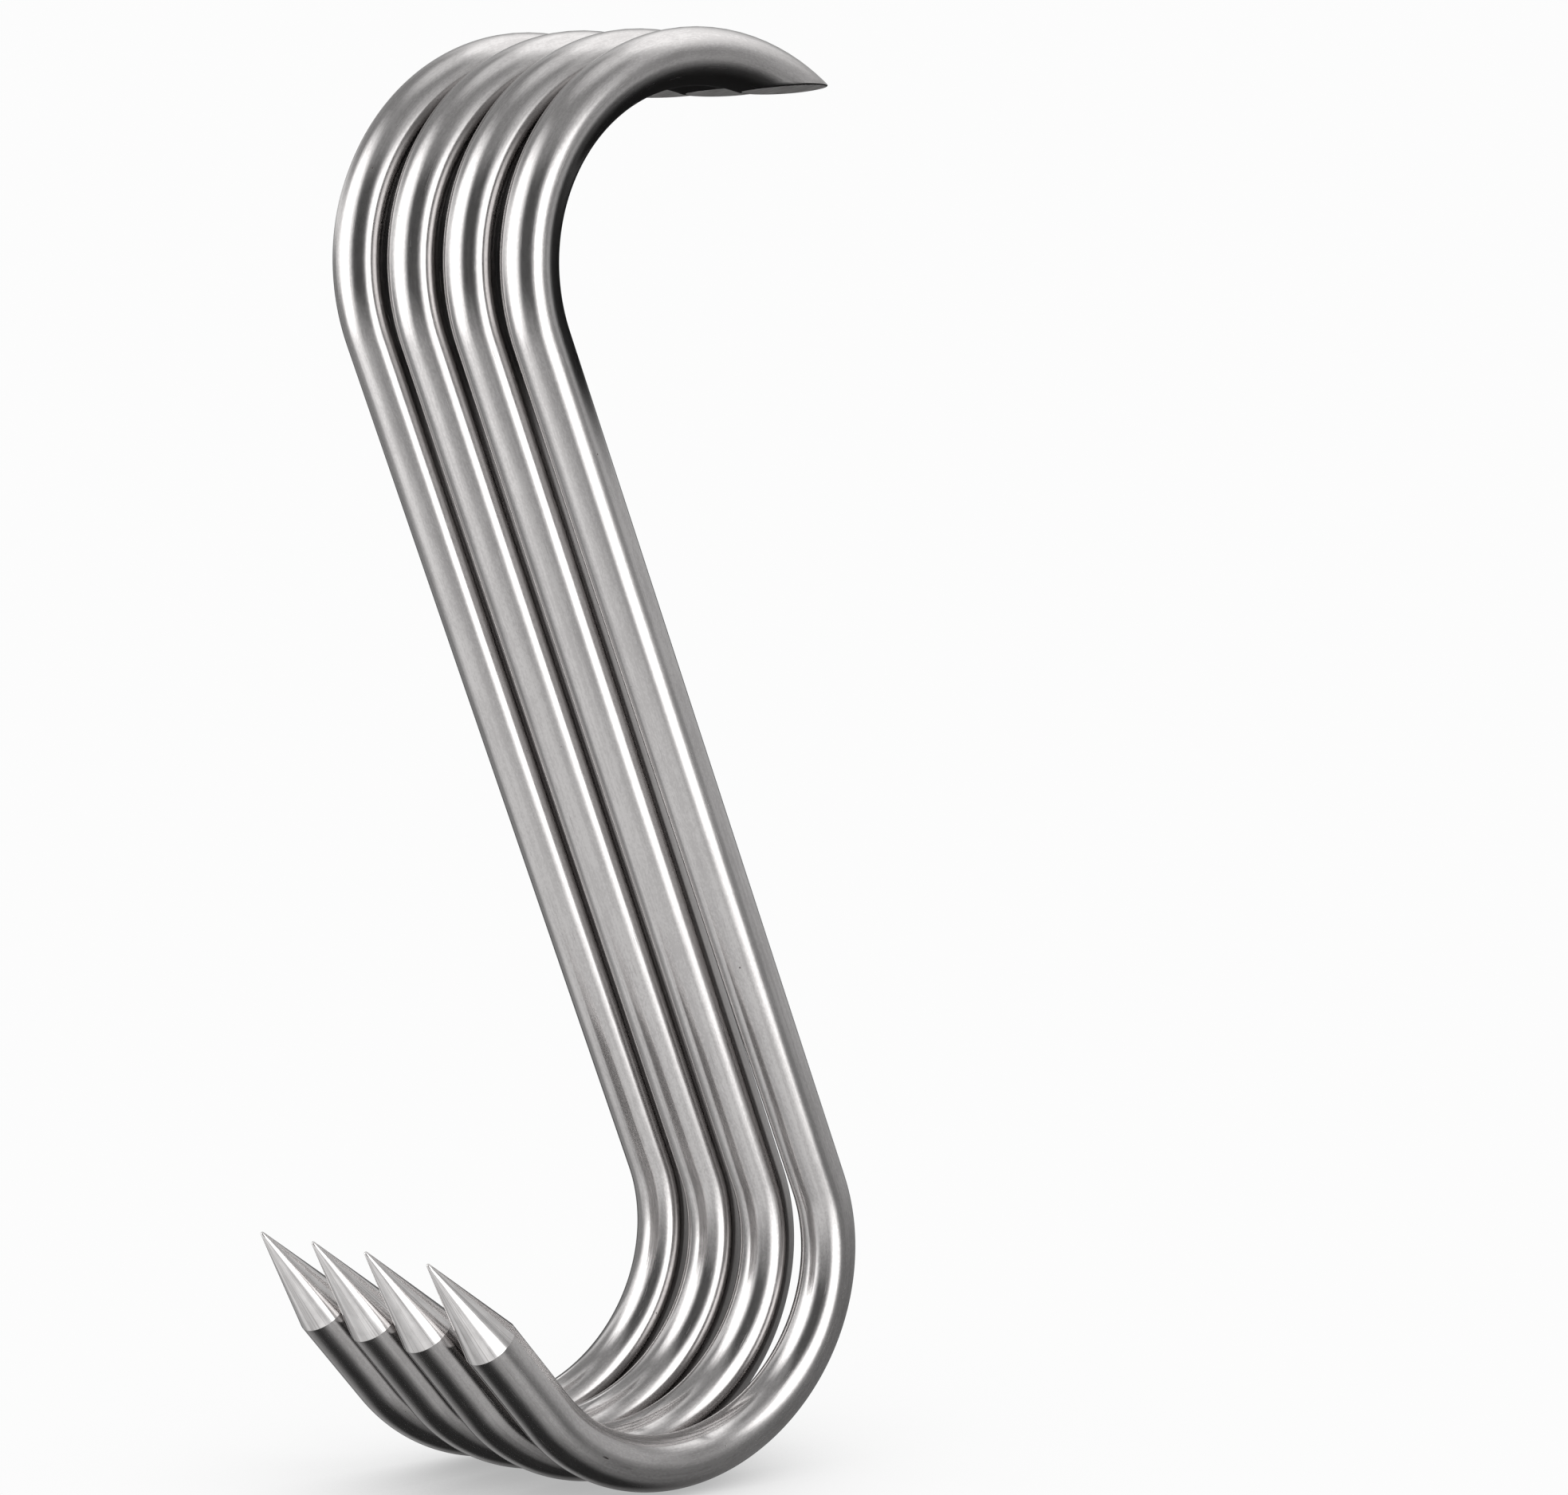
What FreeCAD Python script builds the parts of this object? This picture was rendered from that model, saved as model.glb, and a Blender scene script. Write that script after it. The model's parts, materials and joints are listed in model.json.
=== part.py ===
import FreeCAD, Part

# A set of four S-shaped meat hooks bent from round bar, hanging nested side by side on one rail line.
#
# Row frame, millimetres: +Z is up and every hook is bent in a plane parallel to XZ.  The origin is the
# inside crown of the front hook's upper bend, the point that rests on a rail.  The other hooks stand
# behind it, towards +Y.

import math
import os

# Driving dimensions of one hook.
BAR_DIAMETER = 10.0
OVERALL_LENGTH = 244.0     # outside to outside, measured along the shank
UPPER_BEND_RADIUS = 36.0   # centre line of the bend that hangs on the rail
LOWER_BEND_RADIUS = 34.0   # centre line of the bend that carries the load
LOWER_BEND_ANGLE = 163.0   # turned by the lower bend, from the shank to the point's straight stretch
POINT_STRAIGHT = 19.0      # full-diameter bar between the lower bend and the ground point
POINT_LENGTH = 20.0        # ground conical point
POINT_NOSE_RADIUS = 0.25   # the point is broken off this blunt

# Cut that ends the upper bend.  It is close to level, so it leaves a long slanting face.
CUT_TIP_ANGLE = 53.0       # where the cut meets the outside of the bend, above level at the bend centre
CUT_SLOPE = 7.0            # rise of the cut towards its tip
CUT_ROLL = 7.0             # the cut also falls away towards the back
CUT_OVERRUN = 8.0          # bar swept beyond the tip before it is cut
CUT_BLOCK = 60.0           # side of the block that is cut away

# How the set hangs, from the front hook to the rear one.
HOOK_PITCH = 11.0          # spacing of the bending planes, which leaves 1 mm between the bars
HOOK_SIDESTEP = -4.5       # each hook hangs this much further over in X than the one in front
HOOK_SWINGS = (0.35, -0.1, 0.0, 0.15)   # degrees each hook hangs off plumb, lower end towards +X

BAR_RADIUS = BAR_DIAMETER / 2
BEND_RADII = UPPER_BEND_RADIUS + LOWER_BEND_RADIUS
SHANK_LENGTH = OVERALL_LENGTH - BEND_RADII - BAR_DIAMETER
RAIL_SEAT_RADIUS = UPPER_BEND_RADIUS - BAR_RADIUS

# The bend centres hang one above the other, so the straight shank leans between them.
SHANK_LEAN = math.degrees(math.atan2(BEND_RADII, SHANK_LENGTH))
BEND_CENTRE_DISTANCE = math.hypot(BEND_RADII, SHANK_LENGTH)

# Directions in the bending plane, in degrees above +X.
UPPER_TANGENT_ANGLE = 180.0 + SHANK_LEAN
LOWER_TANGENT_ANGLE = SHANK_LEAN
LOWER_END_ANGLE = LOWER_TANGENT_ANGLE - LOWER_BEND_ANGLE

BEND_AXIS = FreeCAD.Vector(0, 1, 0)
UPPER_CENTRE = FreeCAD.Vector(0, 0, -RAIL_SEAT_RADIUS)
LOWER_CENTRE = UPPER_CENTRE - FreeCAD.Vector(0, 0, BEND_CENTRE_DISTANCE)


def direction(angle):
    """Unit vector in the bending plane, the given number of degrees above +X."""
    turn = math.radians(angle)
    return FreeCAD.Vector(math.cos(turn), 0, math.sin(turn))


def bar_section(centre, along):
    """Round face of the bar's own diameter, square to the given direction."""
    return Part.Face(Part.Wire(Part.makeCircle(BAR_RADIUS, centre, along)))


def bend(centre, radius, start_angle, swept_angle):
    """Bent bar that runs clockwise about a bend centre, seen from the front."""
    start = centre + direction(start_angle) * radius
    return bar_section(start, direction(start_angle - 90)).revolve(centre, BEND_AXIS, swept_angle)


def straight(start, along, length):
    """Straight bar."""
    return bar_section(start, along).extrude(along * length)


def upper_bend():
    """Bend that hangs on the rail, ended by the near-level cut."""
    swept = UPPER_TANGENT_ANGLE - CUT_TIP_ANGLE + CUT_OVERRUN
    bar = bend(UPPER_CENTRE, UPPER_BEND_RADIUS, UPPER_TANGENT_ANGLE, swept)
    tip = UPPER_CENTRE + direction(CUT_TIP_ANGLE) * (UPPER_BEND_RADIUS + BAR_RADIUS)

    # The block hangs below the cut and stays clear of the bar on the closed side of the bend.
    block = Part.makeBox(CUT_BLOCK, CUT_BLOCK, CUT_BLOCK)
    block.translate(FreeCAD.Vector(-tip.x, -CUT_BLOCK / 2, -CUT_BLOCK))
    block.rotate(FreeCAD.Vector(0, 0, 0), FreeCAD.Vector(1, 0, 0), -CUT_ROLL)
    block.rotate(FreeCAD.Vector(0, 0, 0), BEND_AXIS, -CUT_SLOPE)
    block.translate(tip)
    return bar.cut(block)


def hook():
    """One hook, hanging with its upper bend's inside crown at the origin."""
    shank_top = UPPER_CENTRE + direction(UPPER_TANGENT_ANGLE) * UPPER_BEND_RADIUS
    shank = straight(shank_top, direction(SHANK_LEAN - 90), SHANK_LENGTH)
    lower = bend(LOWER_CENTRE, LOWER_BEND_RADIUS, LOWER_TANGENT_ANGLE, LOWER_BEND_ANGLE)

    point_direction = direction(LOWER_END_ANGLE - 90)
    straight_start = LOWER_CENTRE + direction(LOWER_END_ANGLE) * LOWER_BEND_RADIUS
    point_start = straight_start + point_direction * POINT_STRAIGHT
    stretch = straight(straight_start, point_direction, POINT_STRAIGHT)
    point = Part.makeCone(BAR_RADIUS, POINT_NOSE_RADIUS, POINT_LENGTH, point_start, point_direction)

    return upper_bend().fuse([shank, lower, stretch, point])


os.makedirs("parts", exist_ok=True)
for index, swing in enumerate(HOOK_SWINGS):
    placed = hook()
    placed.rotate(UPPER_CENTRE, BEND_AXIS, -swing)
    placed.translate(FreeCAD.Vector(HOOK_SIDESTEP * index, HOOK_PITCH * index, 0))
    placed.exportStep("parts/hook_%d.step" % (index + 1))
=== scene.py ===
import json
import math

import bmesh
import bpy
from mathutils import Matrix, Vector


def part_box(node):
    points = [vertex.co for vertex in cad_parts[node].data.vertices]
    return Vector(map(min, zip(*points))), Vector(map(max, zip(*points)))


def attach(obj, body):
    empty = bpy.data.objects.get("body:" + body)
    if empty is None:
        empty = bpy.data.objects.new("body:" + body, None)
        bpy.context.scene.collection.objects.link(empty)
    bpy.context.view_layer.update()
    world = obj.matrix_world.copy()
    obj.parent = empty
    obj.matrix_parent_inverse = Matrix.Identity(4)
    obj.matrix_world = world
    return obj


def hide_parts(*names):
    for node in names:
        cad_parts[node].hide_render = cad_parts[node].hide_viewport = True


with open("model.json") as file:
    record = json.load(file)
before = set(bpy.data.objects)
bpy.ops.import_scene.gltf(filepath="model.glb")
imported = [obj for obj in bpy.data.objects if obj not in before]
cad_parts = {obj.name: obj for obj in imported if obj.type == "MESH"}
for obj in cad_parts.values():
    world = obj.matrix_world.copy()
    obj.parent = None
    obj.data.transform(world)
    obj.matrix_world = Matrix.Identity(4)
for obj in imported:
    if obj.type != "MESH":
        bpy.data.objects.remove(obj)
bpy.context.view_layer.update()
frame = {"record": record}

# Looks for the set of four nested S hooks.  Each hook is rebuilt as one closed, finely divided skin on the
# same centre line as its CAD solid, and carries coordinates along and round the bar, so that the drawn
# grain follows the bends.  The geometry is worked out in millimetres and scaled once, in build_hook().

MM = 0.001

# One hook, in its bending plane; the same numbers as the CAD part.
BAR_RADIUS = 5.0
UPPER_BEND_RADIUS = 36.0
LOWER_BEND_RADIUS = 34.0
SHANK_LENGTH = 164.0
LOWER_BEND_ANGLE = 163.0
POINT_STRAIGHT = 19.0
POINT_LENGTH = 20.0
POINT_NOSE_RADIUS = 0.25
CUT_TIP_ANGLE = 53.0
CUT_SLOPE = 7.0
CUT_ROLL = 7.0

# Mesh density.
AROUND = 80                # points round the bar
BEND_STEP = 1.6            # degrees between rings in a bend
SHANK_STEP = 4.0           # millimetres between rings on the shank
STRETCH_STEP = 2.0         # and on the short stretch before the point
CUT_BLEND_ANGLE = 104.0    # rings are square to the bar again from here on
CUT_ROWS = 14
CUT_ROW_CROWDING = 1.25    # above 1, the rings crowd towards the sawn end
RIM_BREAK = 0.50           # the sawn end's edge is broken this far
EDGE_SUPPORT = 0.05        # rings this close hold an edge crisp
FACE_ROWS = (0.15, 0.32, 0.5, 0.68, 0.86)   # share of the way from the middle of the sawn face to its rim
RIM_ROWS = (1.0, 0.75, 0.5, 0.25)           # share of the way from the skin to the sawn face
POINT_ROWS = 18
POINT_ROW_CROWDING = 0.92  # below 1, the rings crowd towards the tip
NOSE_LENGTH = 0.6          # of the point's rounded nose, in nose radii
NOSE_ROWS = ((0.35, 0.94), (0.65, 0.74), (0.88, 0.42))   # share of the nose's length, and of its radius
GRAIN_OFFSET = 400.0       # each hook's grain starts this much further along, so that no two match

BEND_RADII = UPPER_BEND_RADIUS + LOWER_BEND_RADIUS
SHANK_LEAN = math.degrees(math.atan2(BEND_RADII, SHANK_LENGTH))
UPPER_TANGENT_ANGLE = 180.0 + SHANK_LEAN
LOWER_END_ANGLE = SHANK_LEAN - LOWER_BEND_ANGLE
UPPER_CENTRE = Vector((0, 0, BAR_RADIUS - UPPER_BEND_RADIUS))
LOWER_CENTRE = UPPER_CENTRE - Vector((0, 0, math.hypot(BEND_RADII, SHANK_LENGTH)))
ACROSS = Vector((0, 1, 0))

# CAD node, body, seat on the rail, and degrees it hangs off plumb.
HOOKS = (
    ("hook_1", "front_hook", "rail_seat_1", 0.35),
    ("hook_2", "second_hook", "rail_seat_2", -0.1),
    ("hook_3", "third_hook", "rail_seat_3", 0.0),
    ("hook_4", "rear_hook", "rail_seat_4", 0.15),
)
BAR_MATERIAL, POINT_MATERIAL, END_MATERIAL = 0, 1, 2   # places in each mesh's list of materials

# Colours and surfaces; reliefs and reaches are in metres.
STEEL_COLOUR = (0.635, 0.618, 0.613)
WORN_STEEL_COLOUR = (0.535, 0.519, 0.515)
# Dark colour of pits, scratches, nicks and streaks, and of the painted shade between close bars.
MARK_AND_SHADE_COLOUR = (0.17, 0.152, 0.146)
GROUND_COLOUR = (0.88, 0.862, 0.856)
DULL_GROUND_COLOUR = (0.78, 0.762, 0.756)
SAWN_COLOUR = (0.50, 0.49, 0.482)
SAW_LINE_COLOUR = (0.36, 0.352, 0.348)
BAR_RELIEF, POINT_RELIEF, END_RELIEF = 0.000011, 0.000016, 0.000012
BAR_ROUGHNESS, POINT_ROUGHNESS, END_ROUGHNESS = 0.10, 0.09, 0.30
# Painted shade where bars lie close together: how far it reaches and how dark it gets.
CREVICE_SHADE_REACH = 0.007
CREVICE_SHADE_DARKNESS = 0.55

# Marks on the front hook, as bar coordinates and half sizes in millimetres.
NICK_PLACE = (0.0, -5.0, 343.4)
NICK_SIZE = (0.22, 0.5, 1.15)
SCUFF_PLACE = (-0.3, -5.0, 338.4)
SCUFF_SIZE = (0.3, 0.6, 1.9)


# ---------------------------------------------------------------- geometry

def direction(angle):
    """Unit vector in the bending plane, the given number of degrees above +X."""
    turn = math.radians(angle)
    return Vector((math.cos(turn), 0.0, math.sin(turn)))


CUT_NORMAL = (Matrix.Rotation(math.radians(-CUT_SLOPE), 3, "Y")
              @ Matrix.Rotation(math.radians(-CUT_ROLL), 3, "X") @ Vector((0, 0, 1)))
CUT_TIP = UPPER_CENTRE + direction(CUT_TIP_ANGLE) * (UPPER_BEND_RADIUS + BAR_RADIUS)


def round_angles():
    """Turns of the points in a ring, from the outside of the upper bend, in radians."""
    return [2 * math.pi * k / AROUND for k in range(AROUND)]


def cut_angle(turn):
    """Where the lengthwise line at this turn round the bar meets the cut, in degrees about the bend."""
    reach = UPPER_BEND_RADIUS + BAR_RADIUS * math.cos(turn)
    level = (CUT_TIP - UPPER_CENTRE).dot(CUT_NORMAL) - BAR_RADIUS * math.sin(turn) * CUT_NORMAL.y
    in_plane = math.hypot(CUT_NORMAL.x, CUT_NORMAL.z)
    return math.degrees(math.atan2(CUT_NORMAL.z, CUT_NORMAL.x) - math.acos(level / (reach * in_plane)))


def upper_point(turn, angle):
    """Skin point of the upper bend, with its bar coordinates and the bar's direction there."""
    reach = UPPER_BEND_RADIUS + BAR_RADIUS * math.cos(turn)
    place = UPPER_CENTRE + direction(angle) * reach + ACROSS * BAR_RADIUS * math.sin(turn)
    station = UPPER_BEND_RADIUS * math.radians(angle - CUT_TIP_ANGLE)
    return place, bar_coordinates(turn, station), direction(angle + 90)


def bar_coordinates(turn, station):
    """Place on the bar if it were straightened: round it, and along it."""
    return Vector((BAR_RADIUS * math.cos(turn), BAR_RADIUS * math.sin(turn), station))


def ring(centre, outward, along, radius, station):
    """Ring of skin points square to the bar."""
    row = []
    for turn in round_angles():
        place = centre + (outward * math.cos(turn) + ACROSS * math.sin(turn)) * radius
        row.append((place, bar_coordinates(turn, station), along))
    return row


def cut_rows():
    """Rings from the sawn end to the first square ring, following the slanting cut."""
    rows = []
    for row in range(CUT_ROWS + 1):
        share = (row / CUT_ROWS) ** CUT_ROW_CROWDING
        ring_row = []
        for turn in round_angles():
            reach = UPPER_BEND_RADIUS + BAR_RADIUS * math.cos(turn)
            first = cut_angle(turn) + math.degrees(RIM_BREAK / reach)
            ring_row.append(upper_point(turn, first + (CUT_BLEND_ANGLE - first) * share))
        rows.append(ring_row)
    return rows


def end_rows():
    """Rings from the middle of the sawn face out to its broken rim."""
    edge = [upper_point(turn, cut_angle(turn)) for turn in round_angles()]
    places = [point[0] for point in edge]
    middle = sum(places, Vector()) / AROUND
    inward, back = [], []
    for k, place in enumerate(places):
        tangent = (places[(k + 1) % AROUND] - places[k - 1]).normalized()
        side = CUT_NORMAL.cross(tangent)
        inward.append(side if side.dot(middle - place) > 0 else -side)
        turn = round_angles()[k]
        reach = UPPER_BEND_RADIUS + BAR_RADIUS * math.cos(turn)
        first = cut_angle(turn)
        back.append([upper_point(turn, first + math.degrees(d / reach))[0]
                     for d in (RIM_BREAK, RIM_BREAK + EDGE_SUPPORT)])

    def row(make):
        """Ring whose points come from a function of their number."""
        return [(make(k), edge[k][1], edge[k][2]) for k in range(AROUND)]

    def rounded(share):
        """Point of a curve from the skin to the face, pulled towards the sharp edge."""
        return lambda k: (back[k][0] * (1 - share) ** 2 + places[k] * 2 * share * (1 - share)
                          + (places[k] + inward[k] * RIM_BREAK) * share ** 2)

    def flat(share):
        """Point of the flat face, this share of the way from its middle to its rim."""
        return lambda k: middle + (places[k] + inward[k] * RIM_BREAK - middle) * share

    rows = [row(flat(share)) for share in FACE_ROWS]
    rows.append(row(lambda k: places[k] + inward[k] * (RIM_BREAK + EDGE_SUPPORT)))
    rows += [row(rounded(share)) for share in RIM_ROWS]
    return middle, rows


def steps(length, step):
    """Evenly spaced stations over a length, leaving out the first."""
    count = math.ceil(length / step)
    return [length * (k + 1) / count for k in range(count)]


def body_rows():
    """Rings from the end of the cut's influence to the base of the ground point."""
    rows = []
    station = UPPER_BEND_RADIUS * math.radians(CUT_BLEND_ANGLE - CUT_TIP_ANGLE)
    for turned in steps(UPPER_TANGENT_ANGLE - CUT_BLEND_ANGLE, BEND_STEP):
        angle = CUT_BLEND_ANGLE + turned
        rows.append(ring(UPPER_CENTRE + direction(angle) * UPPER_BEND_RADIUS, direction(angle),
                         direction(angle + 90), BAR_RADIUS,
                         station + UPPER_BEND_RADIUS * math.radians(turned)))
    station += UPPER_BEND_RADIUS * math.radians(UPPER_TANGENT_ANGLE - CUT_BLEND_ANGLE)

    outward, along = direction(UPPER_TANGENT_ANGLE), direction(SHANK_LEAN - 90)
    start = UPPER_CENTRE + outward * UPPER_BEND_RADIUS
    for gone in steps(SHANK_LENGTH, SHANK_STEP):
        rows.append(ring(start + along * gone, outward, along, BAR_RADIUS, station + gone))
    station += SHANK_LENGTH

    for turned in steps(LOWER_BEND_ANGLE, BEND_STEP):
        angle = SHANK_LEAN - turned
        rows.append(ring(LOWER_CENTRE + direction(angle) * LOWER_BEND_RADIUS, -direction(angle),
                         direction(angle - 90), BAR_RADIUS,
                         station + LOWER_BEND_RADIUS * math.radians(turned)))
    station += LOWER_BEND_RADIUS * math.radians(LOWER_BEND_ANGLE)

    outward, along = -direction(LOWER_END_ANGLE), direction(LOWER_END_ANGLE - 90)
    start = LOWER_CENTRE - outward * LOWER_BEND_RADIUS
    for gone in steps(POINT_STRAIGHT - EDGE_SUPPORT, STRETCH_STEP) + [POINT_STRAIGHT]:
        rows.append(ring(start + along * gone, outward, along, BAR_RADIUS, station + gone))
    return rows, start + along * POINT_STRAIGHT, outward, along, station + POINT_STRAIGHT


def point_rows(base, outward, along, station):
    """Rings of the ground point, from just past its base to its rounded nose."""
    rows = []
    taper = (BAR_RADIUS - POINT_NOSE_RADIUS) / POINT_LENGTH
    nose_start = POINT_LENGTH - POINT_NOSE_RADIUS * NOSE_LENGTH
    shares = [((k + 1) / POINT_ROWS) ** POINT_ROW_CROWDING for k in range(POINT_ROWS)]
    for gone in [EDGE_SUPPORT] + [nose_start * share for share in shares]:
        rows.append(ring(base + along * gone, outward, along, BAR_RADIUS - taper * gone, station + gone))
    for share, radius in NOSE_ROWS:
        gone = nose_start + (POINT_LENGTH - nose_start) * share
        rows.append(ring(base + along * gone, outward, along, POINT_NOSE_RADIUS * radius, station + gone))
    return rows, base + along * POINT_LENGTH


def row_material(row, first_skin, first_point):
    """Material of the faces between a ring and the next one."""
    if row >= first_point:
        return POINT_MATERIAL
    return END_MATERIAL if row < first_skin - len(RIM_ROWS) else BAR_MATERIAL


def build_hook(name, seat, swing, grain_start):
    """One hook as a closed mesh, in metres in the row frame."""
    middle, face = end_rows()
    body, base, outward, along, station = body_rows()
    point, nose = point_rows(base, outward, along, station)
    skin = cut_rows() + body
    rows = face + skin + point

    turn = Matrix.Rotation(math.radians(-swing), 4, "Y")
    place = (Matrix.Translation(Vector(seat)) @ Matrix.Scale(MM, 4)
             @ Matrix.Translation(UPPER_CENTRE) @ turn @ Matrix.Translation(-UPPER_CENTRE))

    points = [p for row in rows for p in row]
    points.append((middle, Vector((0, 0, 0)), along))
    points.append((nose, Vector((0, 0, station + POINT_LENGTH)), along))
    centre, tip = len(points) - 2, len(points) - 1
    polygons, materials = [], []
    last = len(rows) - 1
    first_skin = len(face)
    first_point = len(face) + len(skin) - 1
    for r in range(last):
        for k in range(AROUND):
            n = (k + 1) % AROUND
            polygons.append((r * AROUND + k, r * AROUND + n, (r + 1) * AROUND + n, (r + 1) * AROUND + k))
            materials.append(row_material(r, first_skin, first_point))
    for k in range(AROUND):
        n = (k + 1) % AROUND
        polygons.append((centre, n, k))
        materials.append(END_MATERIAL)
        polygons.append((tip, last * AROUND + k, last * AROUND + n))
        materials.append(POINT_MATERIAL)

    mesh = bpy.data.meshes.new(name)
    mesh.from_pydata([place @ p[0] for p in points], [], polygons)
    mesh.polygons.foreach_set("material_index", materials)
    mesh.polygons.foreach_set("use_smooth", [True] * len(polygons))
    grain_place = mesh.attributes.new("bar_place", "FLOAT_VECTOR", "POINT")
    shift = Vector((0, 0, grain_start))
    grain_place.data.foreach_set("vector", [c for p in points for c in p[1] + shift])
    grain_way = mesh.attributes.new("bar_way", "FLOAT_VECTOR", "POINT")
    grain_way.data.foreach_set("vector", [c for p in points for c in turn.to_3x3() @ p[2]])
    mesh.update()
    hook = bpy.data.objects.new(name, mesh)
    bpy.context.scene.collection.objects.link(hook)
    return hook


# ---------------------------------------------------------------- materials
#
# Nodes with several inputs of one name are wired by number: 1 and 2 are a MapRange's range and 3 and 4 what
# it becomes, and a Mix's two ends are 2 and 3 for numbers and 6 and 7 for colours.

def add(tree, kind, inputs=(), **properties):
    """New shader node; an input is set to a value, or linked if it is given a socket."""
    made = tree.nodes.new("ShaderNode" + kind)
    for key, value in properties.items():
        setattr(made, key, value)
    for key, value in dict(inputs).items():
        if isinstance(value, bpy.types.NodeSocket):
            tree.links.new(value, made.inputs[key])
        else:
            made.inputs[key].default_value = value
    return made


def calc(tree, operation, a, b=0.0):
    """Result of one Math node on numbers or sockets."""
    return add(tree, "Math", {0: a, 1: b}, operation=operation).outputs[0]


def total(tree, terms):
    """Sum of (socket, weight) pairs."""
    result = None
    for socket, weight in terms:
        term = calc(tree, "MULTIPLY", socket, weight)
        result = term if result is None else calc(tree, "ADD", result, term)
    return result


def between(tree, value, low, high, to_low=0.0, to_high=1.0):
    """Value taken smoothly from one range to another."""
    return add(tree, "MapRange", {0: value, 1: low, 2: high, 3: to_low, 4: to_high},
               interpolation_type="SMOOTHSTEP", clamp=True).outputs[0]


def noise(tree, place, scale, detail=2.0, roughness=0.5):
    """Noise of about 0 to 1 whose features are 1/scale long; in bar coordinates the last is lengthwise."""
    scaled = add(tree, "VectorMath", {0: place, 1: scale}, operation="MULTIPLY").outputs[0]
    return add(tree, "TexNoise", {"Vector": scaled, "Scale": 1.0, "Detail": detail,
                                  "Roughness": roughness}, noise_dimensions="3D").outputs["Fac"]


def blend_colours(tree, factor, low, high):
    """Colour between two colours or sockets."""
    ends = [c if isinstance(c, bpy.types.NodeSocket) else (*c, 1) for c in (low, high)]
    return add(tree, "Mix", {0: factor, 6: ends[0], 7: ends[1]}, data_type="RGBA").outputs[2]


def new_material(name):
    """Empty node material, with its node tree."""
    material = bpy.data.materials.new(name)
    material.use_nodes = True
    material.node_tree.nodes.clear()
    return material, material.node_tree


def grain_tangent(tree):
    """Direction round the bar, along which the lengthwise grain spreads a reflection."""
    way = add(tree, "Attribute", attribute_name="bar_way").outputs["Vector"]
    way = add(tree, "VectorTransform", {0: way}, vector_type="VECTOR",
              convert_from="OBJECT", convert_to="WORLD").outputs[0]
    normal = add(tree, "NewGeometry").outputs["Normal"]
    return add(tree, "VectorMath", {0: normal, 1: way}, operation="CROSS_PRODUCT").outputs[0]


def spot(tree, place, centre, size):
    """1 inside a small oval patch at a place on the bar, 0 outside it."""
    off = add(tree, "VectorMath", {0: place, 1: centre}, operation="SUBTRACT").outputs[0]
    off = add(tree, "VectorMath", {0: off, 1: size}, operation="DIVIDE").outputs[0]
    away = add(tree, "VectorMath", {0: off}, operation="LENGTH").outputs["Value"]
    return between(tree, away, 0.6, 1.0, 1.0, 0.0)


def with_crevice_shade(tree, colour):
    """Colour with painted shade, darker where two bars lie close together and shade each other."""
    open_share = add(tree, "AmbientOcclusion", {"Distance": CREVICE_SHADE_REACH}, samples=6).outputs["AO"]
    painted_shade = between(tree, open_share, 0.0, 0.75, CREVICE_SHADE_DARKNESS, 0.0)
    return blend_colours(tree, painted_shade, colour, MARK_AND_SHADE_COLOUR)


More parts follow.
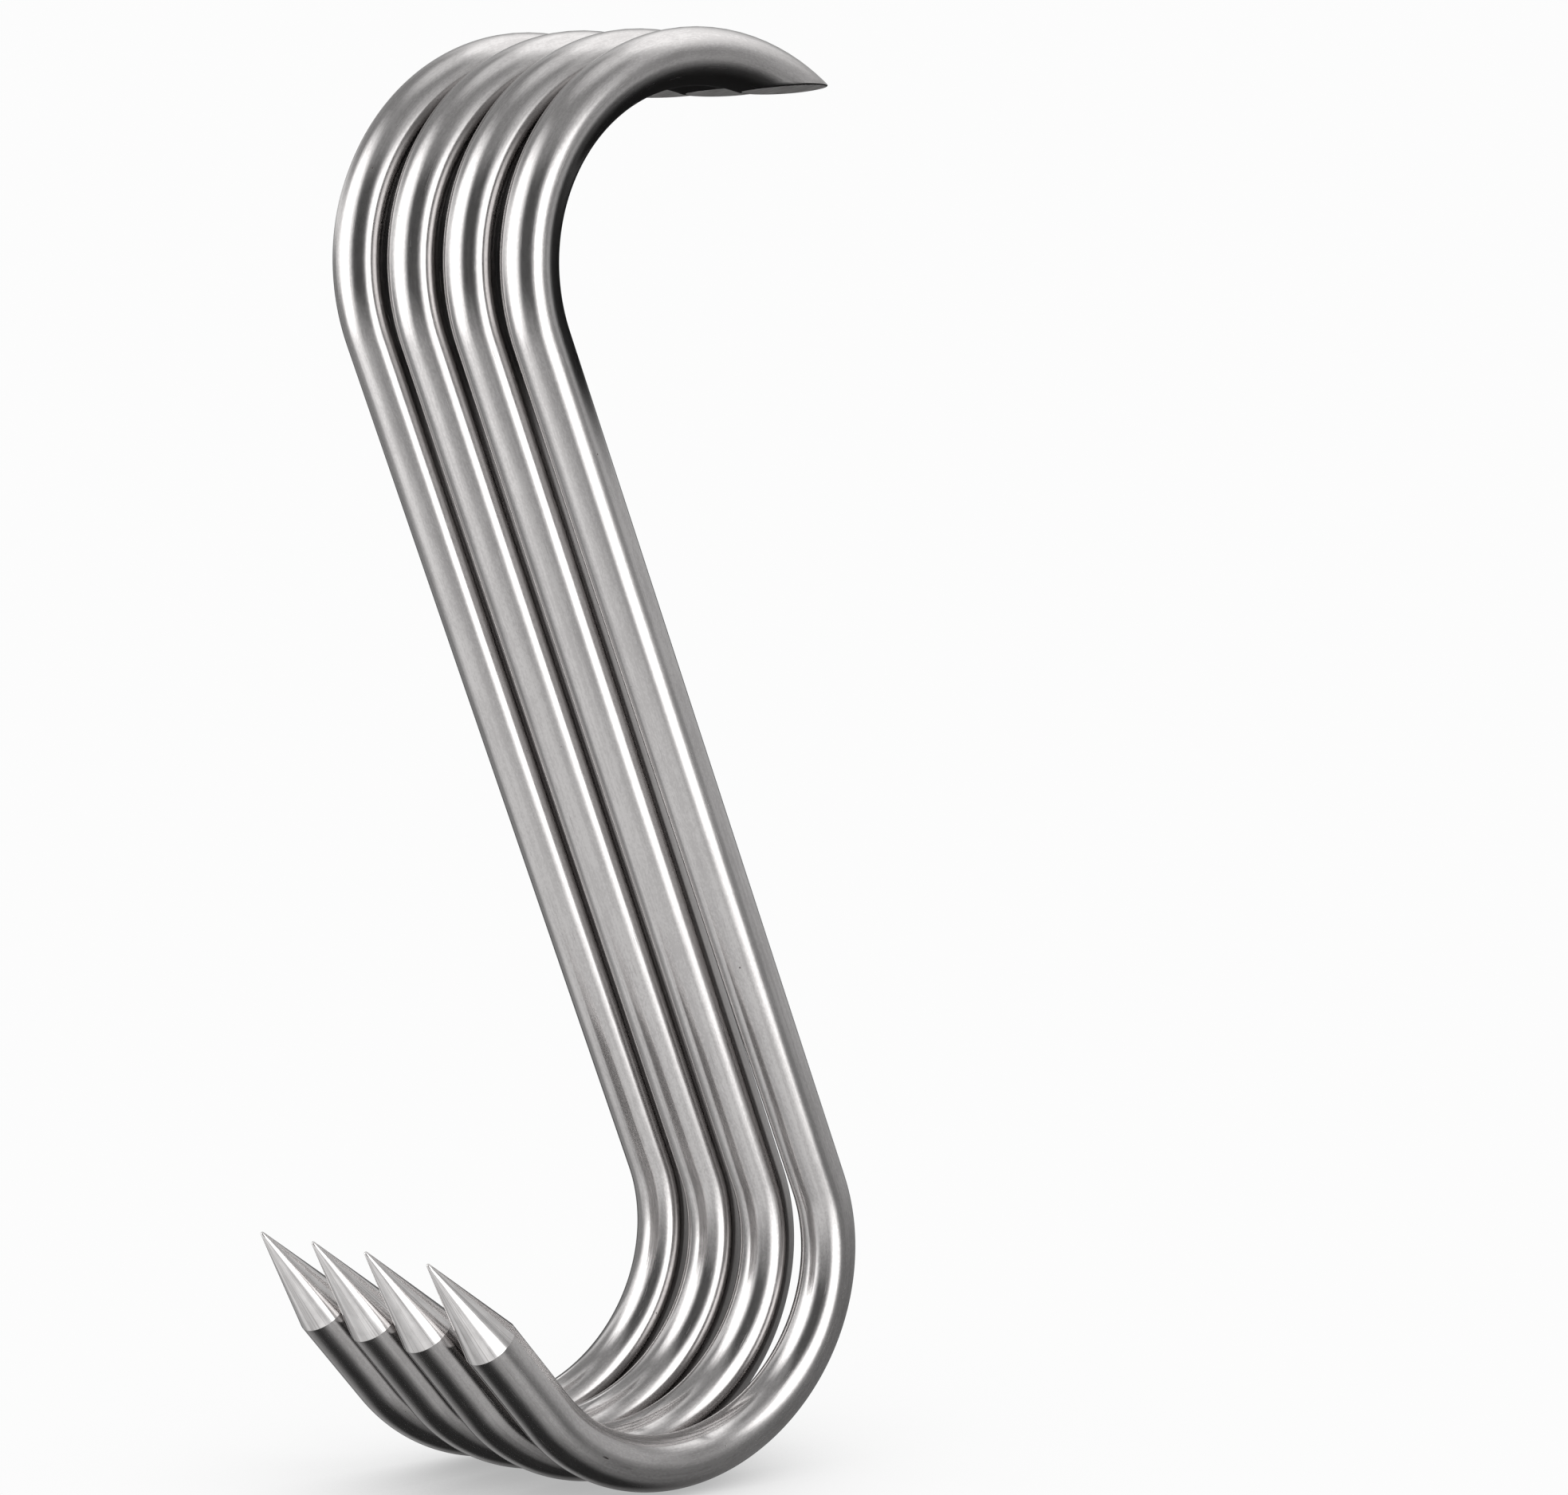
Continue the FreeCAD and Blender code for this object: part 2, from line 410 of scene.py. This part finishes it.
def drawn_bar():
    """Drawn and polished bar: fine lengthwise grain, faint draw lines, a few scratches and pits."""
    material, tree = new_material("drawn_bar_steel")
    place = add(tree, "Attribute", attribute_name="bar_place").outputs["Vector"]
    broad = noise(tree, place, (0.55, 0.55, 0.010))
    lines = noise(tree, place, (1.7, 1.7, 0.012), 2.0, 0.55)
    hairs = noise(tree, place, (5.0, 5.0, 0.04), 2.0)
    cloud = noise(tree, place, (0.22, 0.22, 0.07), 3.0, 0.6)
    mottle = noise(tree, place, (0.9, 0.9, 0.35), 4.0, 0.65)
    specks = noise(tree, place, (3.2, 3.2, 1.6), 1.0)
    scratch_noise = noise(tree, place, (5.5, 5.5, 0.16), 0.0)
    scratches = between(tree, scratch_noise, 0.79, 0.83)
    pit_cells = add(tree, "TexVoronoi", {"Vector": place, "Scale": 0.16, "Randomness": 1.0},
                    voronoi_dimensions="3D", feature="F1")
    pits = between(tree, pit_cells.outputs["Distance"], 0.018, 0.030, 1.0, 0.0)

    # A broken nick low on the front hook's lower bend, and a fainter scuff beside it.
    dashes = between(tree, noise(tree, place, (0.5, 0.5, 1.6), 0.0), 0.44, 0.52)
    nick = calc(tree, "MULTIPLY", spot(tree, place, NICK_PLACE, NICK_SIZE), dashes)
    scuff = calc(tree, "MULTIPLY", spot(tree, place, SCUFF_PLACE, SCUFF_SIZE), 0.4)
    nick = calc(tree, "MAXIMUM", nick, calc(tree, "MULTIPLY", scuff, lines))

    height = total(tree, ((broad, 1.0), (lines, 0.5), (hairs, 0.05), (scratches, -0.15),
                          (pits, -0.6), (nick, -2.0)))
    bump = add(tree, "Bump", {"Height": height, "Strength": 1.0, "Distance": BAR_RELIEF})

    roughness = total(tree, ((cloud, 0.05), (mottle, 0.04), (hairs, 0.03), (scratches, 0.15), (pits, 0.30)))
    roughness = calc(tree, "ADD", roughness, BAR_ROUGHNESS)
    shade = total(tree, ((cloud, 0.25), (lines, 0.30), (mottle, 0.20), (specks, 0.25)))
    colour = blend_colours(tree, between(tree, shade, 0.42, 0.58), WORN_STEEL_COLOUR, STEEL_COLOUR)
    marks = calc(tree, "MAXIMUM", pits, calc(tree, "MULTIPLY", scratches, 0.25))
    colour = blend_colours(tree, calc(tree, "MAXIMUM", marks, nick), colour, MARK_AND_SHADE_COLOUR)
    # The base colour carries painted shade where bars lie close together.
    surface = add(tree, "BsdfPrincipled", {"Base Color": with_crevice_shade(tree, colour), "Metallic": 1.0,
                                           "Roughness": roughness, "Anisotropic": 0.4,
                                           "Tangent": grain_tangent(tree), "Normal": bump.outputs[0]})
    add(tree, "OutputMaterial", {"Surface": surface.outputs[0]})
    return material


def ground_point():
    """Ground and polished point: brighter than the bar, with fine lines from base to tip."""
    material, tree = new_material("ground_point_steel")
    place = add(tree, "Attribute", attribute_name="bar_place").outputs["Vector"]
    facets = noise(tree, place, (1.1, 1.1, 0.012), 2.0)
    lines = noise(tree, place, (3.2, 3.2, 0.03), 1.0)
    cloud = noise(tree, place, (0.5, 0.5, 0.3), 4.0, 0.6)
    height = total(tree, ((facets, 1.0), (lines, 0.12)))
    bump = add(tree, "Bump", {"Height": height, "Strength": 1.0, "Distance": POINT_RELIEF})
    roughness = calc(tree, "ADD", total(tree, ((cloud, 0.06), (lines, 0.03))), POINT_ROUGHNESS)
    colour = blend_colours(tree, between(tree, cloud, 0.40, 0.60), DULL_GROUND_COLOUR, GROUND_COLOUR)
    streaks = between(tree, lines, 0.36, 0.46, 0.35, 0.0)
    colour = blend_colours(tree, streaks, colour, MARK_AND_SHADE_COLOUR)
    # The base colour carries painted shade where bars lie close together.
    surface = add(tree, "BsdfPrincipled", {"Base Color": with_crevice_shade(tree, colour), "Metallic": 1.0,
                                           "Roughness": roughness, "Anisotropic": 0.3,
                                           "Tangent": grain_tangent(tree), "Normal": bump.outputs[0]})
    add(tree, "OutputMaterial", {"Surface": surface.outputs[0]})
    return material


def sawn_end():
    """Sawn face: parallel saw lines under a light polish."""
    material, tree = new_material("sawn_end_steel")
    place = add(tree, "TexCoord").outputs["Object"]
    lines = noise(tree, place, (2600.0, 160.0, 160.0), 2.0)
    cloud = noise(tree, place, (300.0, 300.0, 300.0), 3.0)
    bump = add(tree, "Bump", {"Height": total(tree, ((lines, 1.0), (cloud, 0.3))),
                              "Strength": 1.0, "Distance": END_RELIEF})
    roughness = calc(tree, "ADD", total(tree, ((lines, 0.12), (cloud, 0.1))), END_ROUGHNESS)
    colour = blend_colours(tree, between(tree, lines, 0.40, 0.60), SAW_LINE_COLOUR, SAWN_COLOUR)
    surface = add(tree, "BsdfPrincipled", {"Base Color": colour, "Metallic": 0.6,
                                           "Roughness": roughness, "Normal": bump.outputs[0]})
    add(tree, "OutputMaterial", {"Surface": surface.outputs[0]})
    return material


# ---------------------------------------------------------------- pieces

STEELS = (drawn_bar(), ground_point(), sawn_end())   # in the order of BAR_MATERIAL and the rest
SEATS = {mount["name"]: mount["pos_m"] for mount in frame["record"]["mounts"]}
for index, (node, body, seat, swing) in enumerate(HOOKS):
    hook = build_hook(body + "_bar", SEATS[seat], swing, GRAIN_OFFSET * index)
    for steel in STEELS:
        hook.data.materials.append(steel)
    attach(hook, body)
    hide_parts(node)


# ---------------------------------------------------------------- studio

OBJECT_CENTRE = Vector((-0.012, 0.016, -0.12))
BACKDROP = (0.975, 0.975, 0.975)
TENT_RADIUS = 1.0
TENT_BASE = 0.35           # brightness where nothing is painted

# What the inside of the light tent shows, painted in this order.  Azimuth 0 is +Y and 90 is +X; all angles
# are in degrees from the middle of the object, and an elevation past 90 leaves that side open.
# name, azimuth from, to, elevation from, to, softness of the edges, brightness
TENT = (
    ("ceiling", -180, 180, 70, 120, 10, 0.85),
    ("ceiling_back", 15, 160, 45, 100, 20, 1.4),
    ("fill_left", -75, 0, 0, 25, 10, 0.95),
    ("fill_back", 10, 25, -10, 20, 8, 2.2),
    ("left_low", -170, -30, -50, -30, 15, 0.9),
    ("back_low", -30, 40, -30, 10, 5, 0.3),
    ("right_wall", 50, 140, -5, 30, 10, 0.55),
    ("right_low", 25, 180, -60, -15, 8, 0.2),
    ("ground", -180, 180, -140, -60, 12, 0.03),
    ("dark_back", 5, 60, -35, 10, 6, 0.12),
    ("camera_side", -165, -110, -10, 35, 8, 0.1),
    ("halo_right", 165, 195, -40, 40, 18, 1.0),
    ("softbox_right", 165, 195, -25, 25, 8, 2.6),
    ("softbox_left", -100, -55, -25, 45, 15, 2.6),
)

# Black cards close to the upper bends, which keep their inside dark.  A card only shows in reflections, and
# only on its side towards the hooks.
# name, axis it is square to, place on that axis, then its range and edge softness along each of the other
# two axes, in metres
CARD_COLOUR = (0.012, 0.012, 0.012)
CARDS = (
    ("black_card_right", 0, 0.085, (-0.10, 0.40), 0.04, (-0.040, -0.004), 0.014),
    ("black_card_below", 2, -0.055, (0.00, 0.22), 0.02, (-0.10, 0.40), 0.09),
)


def stage_object(name, mesh):
    """Studio object that only shows as a reflection."""
    made = bpy.data.objects.new(name, mesh)
    bpy.context.scene.collection.objects.link(made)
    made.visible_camera = False
    made.visible_shadow = False
    return made


def fade(tree, value, start, end, soft):
    """1 between start and end, fading to 0 past each."""
    rise = between(tree, value, start - soft, start + soft)
    fall = between(tree, value, end - soft, end + soft, 1.0, 0.0)
    return calc(tree, "MULTIPLY", rise, fall)


def light_tent():
    """Sphere round the object whose inside glows like soft studio lights and dark gaps between them."""
    mesh = bpy.data.meshes.new("light_tent")
    shell = bmesh.new()
    bmesh.ops.create_icosphere(shell, subdivisions=5, radius=TENT_RADIUS)
    shell.to_mesh(mesh)
    shell.free()
    tent = stage_object("light_tent", mesh)
    tent.location = OBJECT_CENTRE

    material, tree = new_material("light_tent")
    x, y, z = add(tree, "SeparateXYZ", {0: add(tree, "TexCoord").outputs["Object"]}).outputs
    to_degrees = 180 / math.pi
    azimuth = calc(tree, "MULTIPLY", calc(tree, "ARCTAN2", x, y), to_degrees)
    height = calc(tree, "ARCSINE", calc(tree, "DIVIDE", z, TENT_RADIUS))
    elevation = calc(tree, "MULTIPLY", height, to_degrees)
    glow = TENT_BASE
    for _, left, right, low, high, soft, brightness in TENT:
        mask = fade(tree, elevation, low, high, soft)
        if right - left < 360:
            middle, half = (left + right) / 2, (right - left) / 2
            off = add(tree, "Math", {0: calc(tree, "SUBTRACT", azimuth, middle), 1: 180.0, 2: -180.0},
                      operation="WRAP").outputs[0]
            mask = calc(tree, "MULTIPLY", mask, fade(tree, off, -half, half, soft))
        glow = add(tree, "Mix", {0: mask, 2: glow, 3: brightness}, data_type="FLOAT").outputs[0]
    surface = add(tree, "Emission", {"Color": (1, 1, 1, 1), "Strength": glow})
    add(tree, "OutputMaterial", {"Surface": surface.outputs[0]})
    material.cycles.emission_sampling = "NONE"
    mesh.materials.append(material)


def black_card(name, axis, place, first, soft_first, second, soft_second):
    """Card that shows black on the side towards the hooks and fades out at its edges."""
    others = [n for n in range(3) if n != axis]
    corners = []
    for side_first, side_second in ((0, 0), (1, 0), (1, 1), (0, 1)):
        corner = Vector((place, place, place))
        corner[others[0]] = first[side_first] + soft_first * (2 * side_first - 1)
        corner[others[1]] = second[side_second] + soft_second * (2 * side_second - 1)
        corners.append(corner)
    mesh = bpy.data.meshes.new(name)
    facing_hooks = (0, 1, 2, 3) if axis == 2 else (3, 2, 1, 0)
    mesh.from_pydata(corners, [], [facing_hooks])
    card = stage_object(name, mesh)
    card.visible_diffuse = False   # it darkens reflections, not the soft light

    material, tree = new_material(name)
    place_on_card = add(tree, "SeparateXYZ", {0: add(tree, "TexCoord").outputs["Object"]}).outputs
    mask = calc(tree, "MULTIPLY", fade(tree, place_on_card[others[0]], *first, soft_first),
                fade(tree, place_on_card[others[1]], *second, soft_second))
    back = add(tree, "NewGeometry").outputs["Backfacing"]
    mask = calc(tree, "MULTIPLY", mask, calc(tree, "SUBTRACT", 1.0, back))
    clear = add(tree, "BsdfTransparent")
    black = add(tree, "Emission", {"Color": (*CARD_COLOUR, 1)})
    surface = add(tree, "MixShader", {0: mask, 1: clear.outputs[0], 2: black.outputs[0]})
    add(tree, "OutputMaterial", {"Surface": surface.outputs[0]})
    mesh.materials.append(material)


FLOOR_HALF_SIDE = 6.0
FLOOR_GAP = 0.0005         # under the lowest hook
# The floor's contact shadow is painted into its glow: how far it reaches, how dark it gets, and where it
# fades out.
SHADOW_REACH = 0.12
SHADOW_BRIGHTNESS = 0.45   # of the floor where it is fully shaded
SHADOW_ENDS = (0.35, 0.6)  # the shadow fades out between these distances from the origin


def floor():
    """Pale floor with a painted soft contact shadow, running out into the backdrop."""
    lowest = min(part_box(node)[0].z for node, *_ in HOOKS)
    mesh = bpy.data.meshes.new("floor")
    corners = ((-1, -1, 0), (1, -1, 0), (1, 1, 0), (-1, 1, 0))
    mesh.from_pydata([Vector(corner) * FLOOR_HALF_SIDE for corner in corners], [], [(0, 1, 2, 3)])
    made = bpy.data.objects.new("floor", mesh)
    bpy.context.scene.collection.objects.link(made)
    made.location = (0, 0, lowest - FLOOR_GAP)
    made.visible_glossy = False
    material, tree = new_material("floor_paint")
    place = add(tree, "TexCoord").outputs["Object"]
    away = add(tree, "VectorMath", {0: place}, operation="LENGTH").outputs["Value"]
    # Painted shadow: an occlusion test darkens the floor's glow, the lights cast nothing here.
    occlusion = add(tree, "AmbientOcclusion", {"Distance": SHADOW_REACH}, samples=16)
    open_share = calc(tree, "MAXIMUM", occlusion.outputs["AO"], between(tree, away, *SHADOW_ENDS))
    shade = between(tree, open_share, 0.0, 1.0, SHADOW_BRIGHTNESS, 1.0)
    seen = add(tree, "Emission", {"Color": (*BACKDROP, 1), "Strength": shade})
    add(tree, "OutputMaterial", {"Surface": seen.outputs[0]})
    material.cycles.emission_sampling = "NONE"
    mesh.materials.append(material)


light_tent()
for card in CARDS:
    black_card(*card)
floor()

world = bpy.data.worlds.new("studio")
bpy.context.scene.world = world
world.use_nodes = True
tree = world.node_tree
tree.nodes.clear()
pale = add(tree, "Background", {"Color": (*BACKDROP, 1), "Strength": 1.0})
add(tree, "OutputWorld", {"Surface": pale.outputs[0]})

# Where the camera stands and looks: azimuth 0 is +Y and 90 is +X, and the tilt is down from level.
CAMERA_PLACE = Vector((-0.3487, -0.5035, -0.0612))
CAMERA_AZIMUTH = 36.08
CAMERA_TILT = 4.95
CAMERA_ROLL = -2.15
CAMERA_LENS = 80.35
SENSOR_WIDTH = 36.0

camera_data = bpy.data.cameras.new("camera")
camera_data.sensor_width = SENSOR_WIDTH
camera_data.lens = CAMERA_LENS
camera = bpy.data.objects.new("camera", camera_data)
bpy.context.scene.collection.objects.link(camera)
camera.location = CAMERA_PLACE
camera.rotation_euler = [math.radians(turn) for turn in (90 - CAMERA_TILT, CAMERA_ROLL, -CAMERA_AZIMUTH)]
bpy.context.scene.camera = camera
bpy.context.scene.view_settings.view_transform = "Standard"
